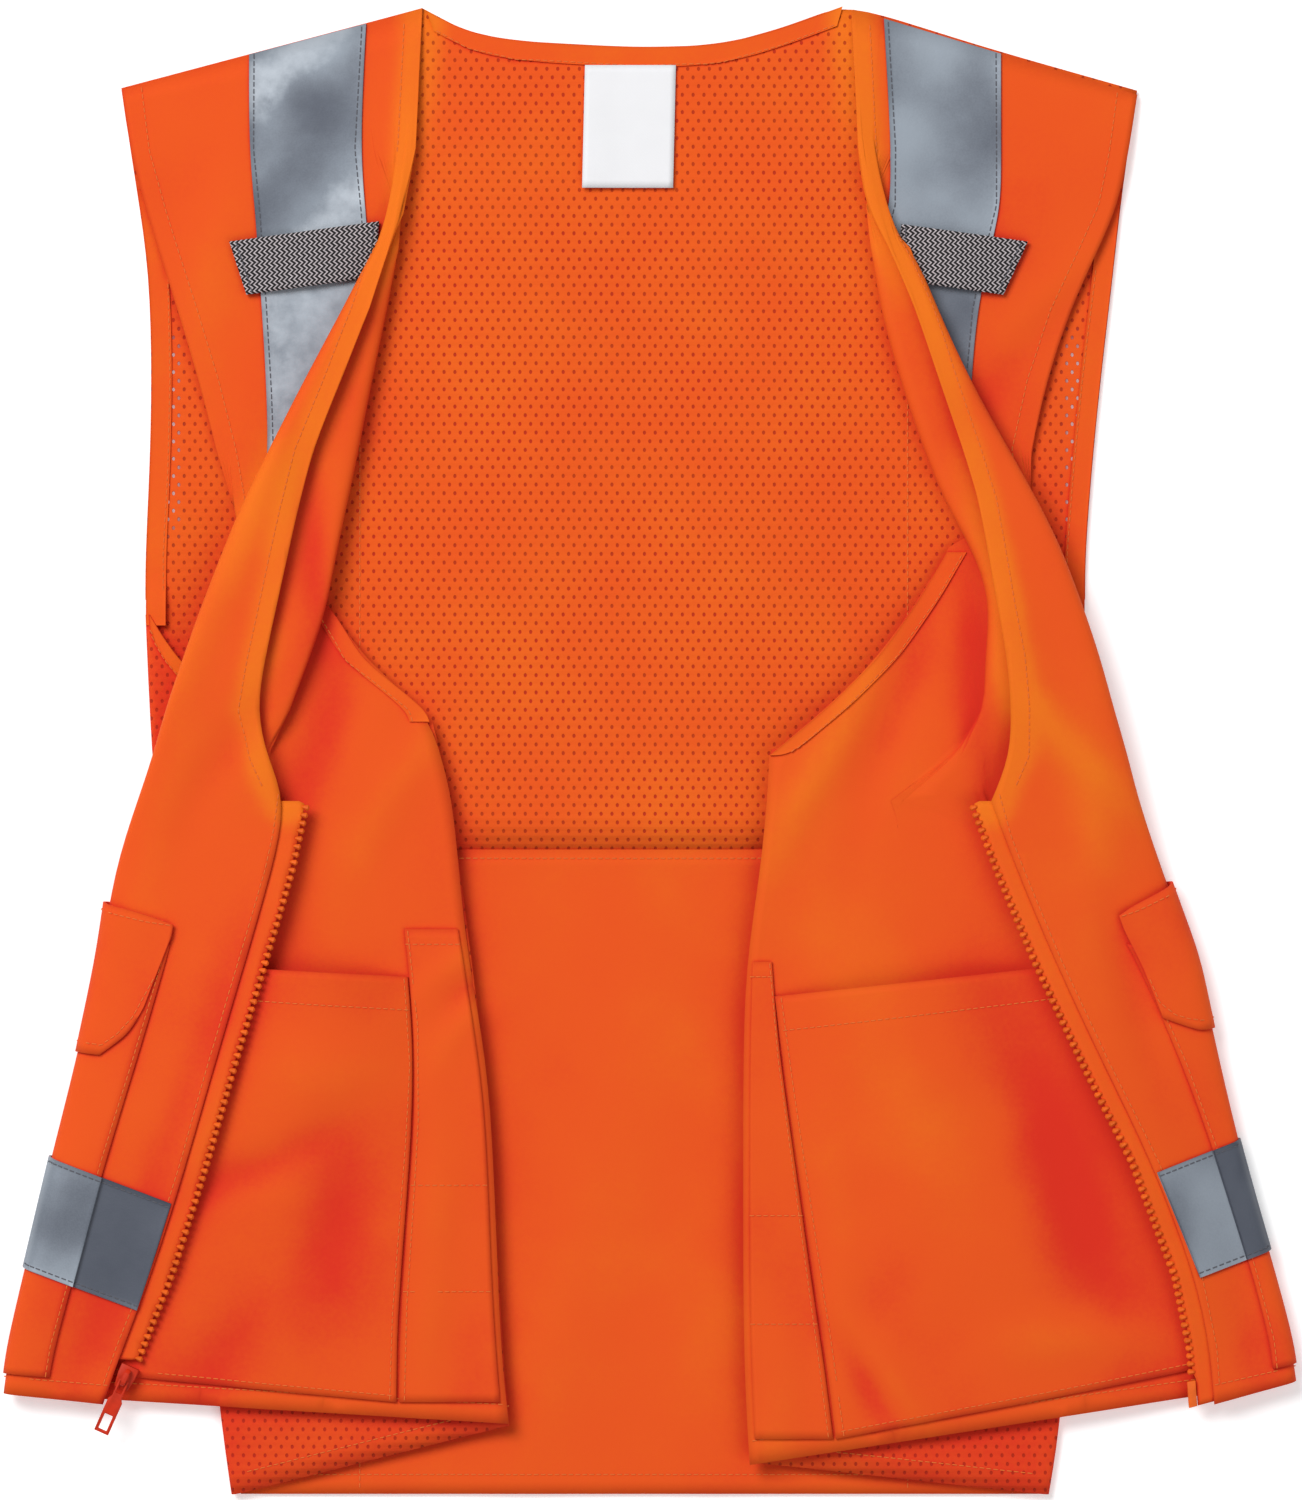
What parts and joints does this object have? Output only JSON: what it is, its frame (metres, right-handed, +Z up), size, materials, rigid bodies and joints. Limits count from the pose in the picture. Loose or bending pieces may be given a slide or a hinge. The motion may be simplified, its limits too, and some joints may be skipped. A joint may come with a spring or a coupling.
{
  "type": "surveyor safety vest",
  "caption": "High-visibility orange work vest laid open on its back, fronts turned out, with a mesh back, reflective tape, a zip, webbing tabs and pockets inside and outside.",
  "frame": {"origin": "centre of the vest's footprint, on the floor under the back tapes", "axes": "+Y from the hem to the neck, +Z up from the back to the fronts, +X to the right as seen from above"},
  "size_m": [0.598, 0.6881, 0.0266],
  "materials": {
    "orange_mesh": "knitted polyester mesh with a lattice of small holes, high-visibility orange",
    "orange_cloth": "plain-woven polyester, high-visibility orange, soft sheen",
    "orange_binding": "folded woven edge binding, orange",
    "reflective_tape": "retroreflective silver-grey tape, satin",
    "grey_webbing": "coarse grey webbing",
    "white_label": "smooth white woven label, bare",
    "zip_cloth": "close-woven zip tape, orange",
    "zip_plastic": "moulded orange plastic"
  },
  "bodies": {
    "vest": {"back_mesh": "orange_mesh", "side_mesh_left": "orange_mesh", "side_mesh_right": "orange_mesh", "back_lower": "orange_cloth", "front_panel_left": "orange_cloth", "front_panel_right": "orange_cloth", "inner_pocket_left": "orange_cloth", "inner_pocket_right": "orange_cloth", "pen_pocket_left": "orange_cloth", "pen_pocket_right": "orange_cloth", "outer_pocket_left": "orange_cloth", "outer_pocket_right": "orange_cloth", "pocket_flap_left": "orange_cloth", "pocket_flap_right": "orange_cloth", "neck_binding": "orange_binding", "armhole_binding_side_left": "orange_binding", "armhole_binding_side_right": "orange_binding", "armhole_binding_back_left": "orange_binding", "armhole_binding_back_right": "orange_binding", "armhole_binding_front_left": "orange_binding", "armhole_binding_front_right": "orange_binding", "back_tape_left": "reflective_tape", "back_tape_right": "reflective_tape", "shoulder_tape_left": "reflective_tape", "shoulder_tape_right": "reflective_tape", "waist_tape_pocket_left": "reflective_tape", "waist_tape_pocket_right": "reflective_tape", "waist_tape_front_left": "reflective_tape", "waist_tape_front_right": "reflective_tape", "mic_tab_left": "grey_webbing", "mic_tab_right": "grey_webbing", "neck_label": "white_label", "zipper_tape_left": "zip_cloth", "zipper_tape_right": "zip_cloth", "zipper_teeth_left": "zip_plastic", "zipper_teeth_right": "zip_plastic", "zipper_slider": "zip_plastic", "zipper_pin": "zip_plastic"},
    "pull": {"zipper_pull": "zip_plastic"}
  },
  "joints": [
    {"name": "pull_hinge", "type": "hinge", "parent": "vest", "child": "pull", "pos_m": [-0.24219, -0.29105, 0.0177], "axis": [-0.9135, 0.4067, 0], "range_deg": [0, 150]}
  ]
}
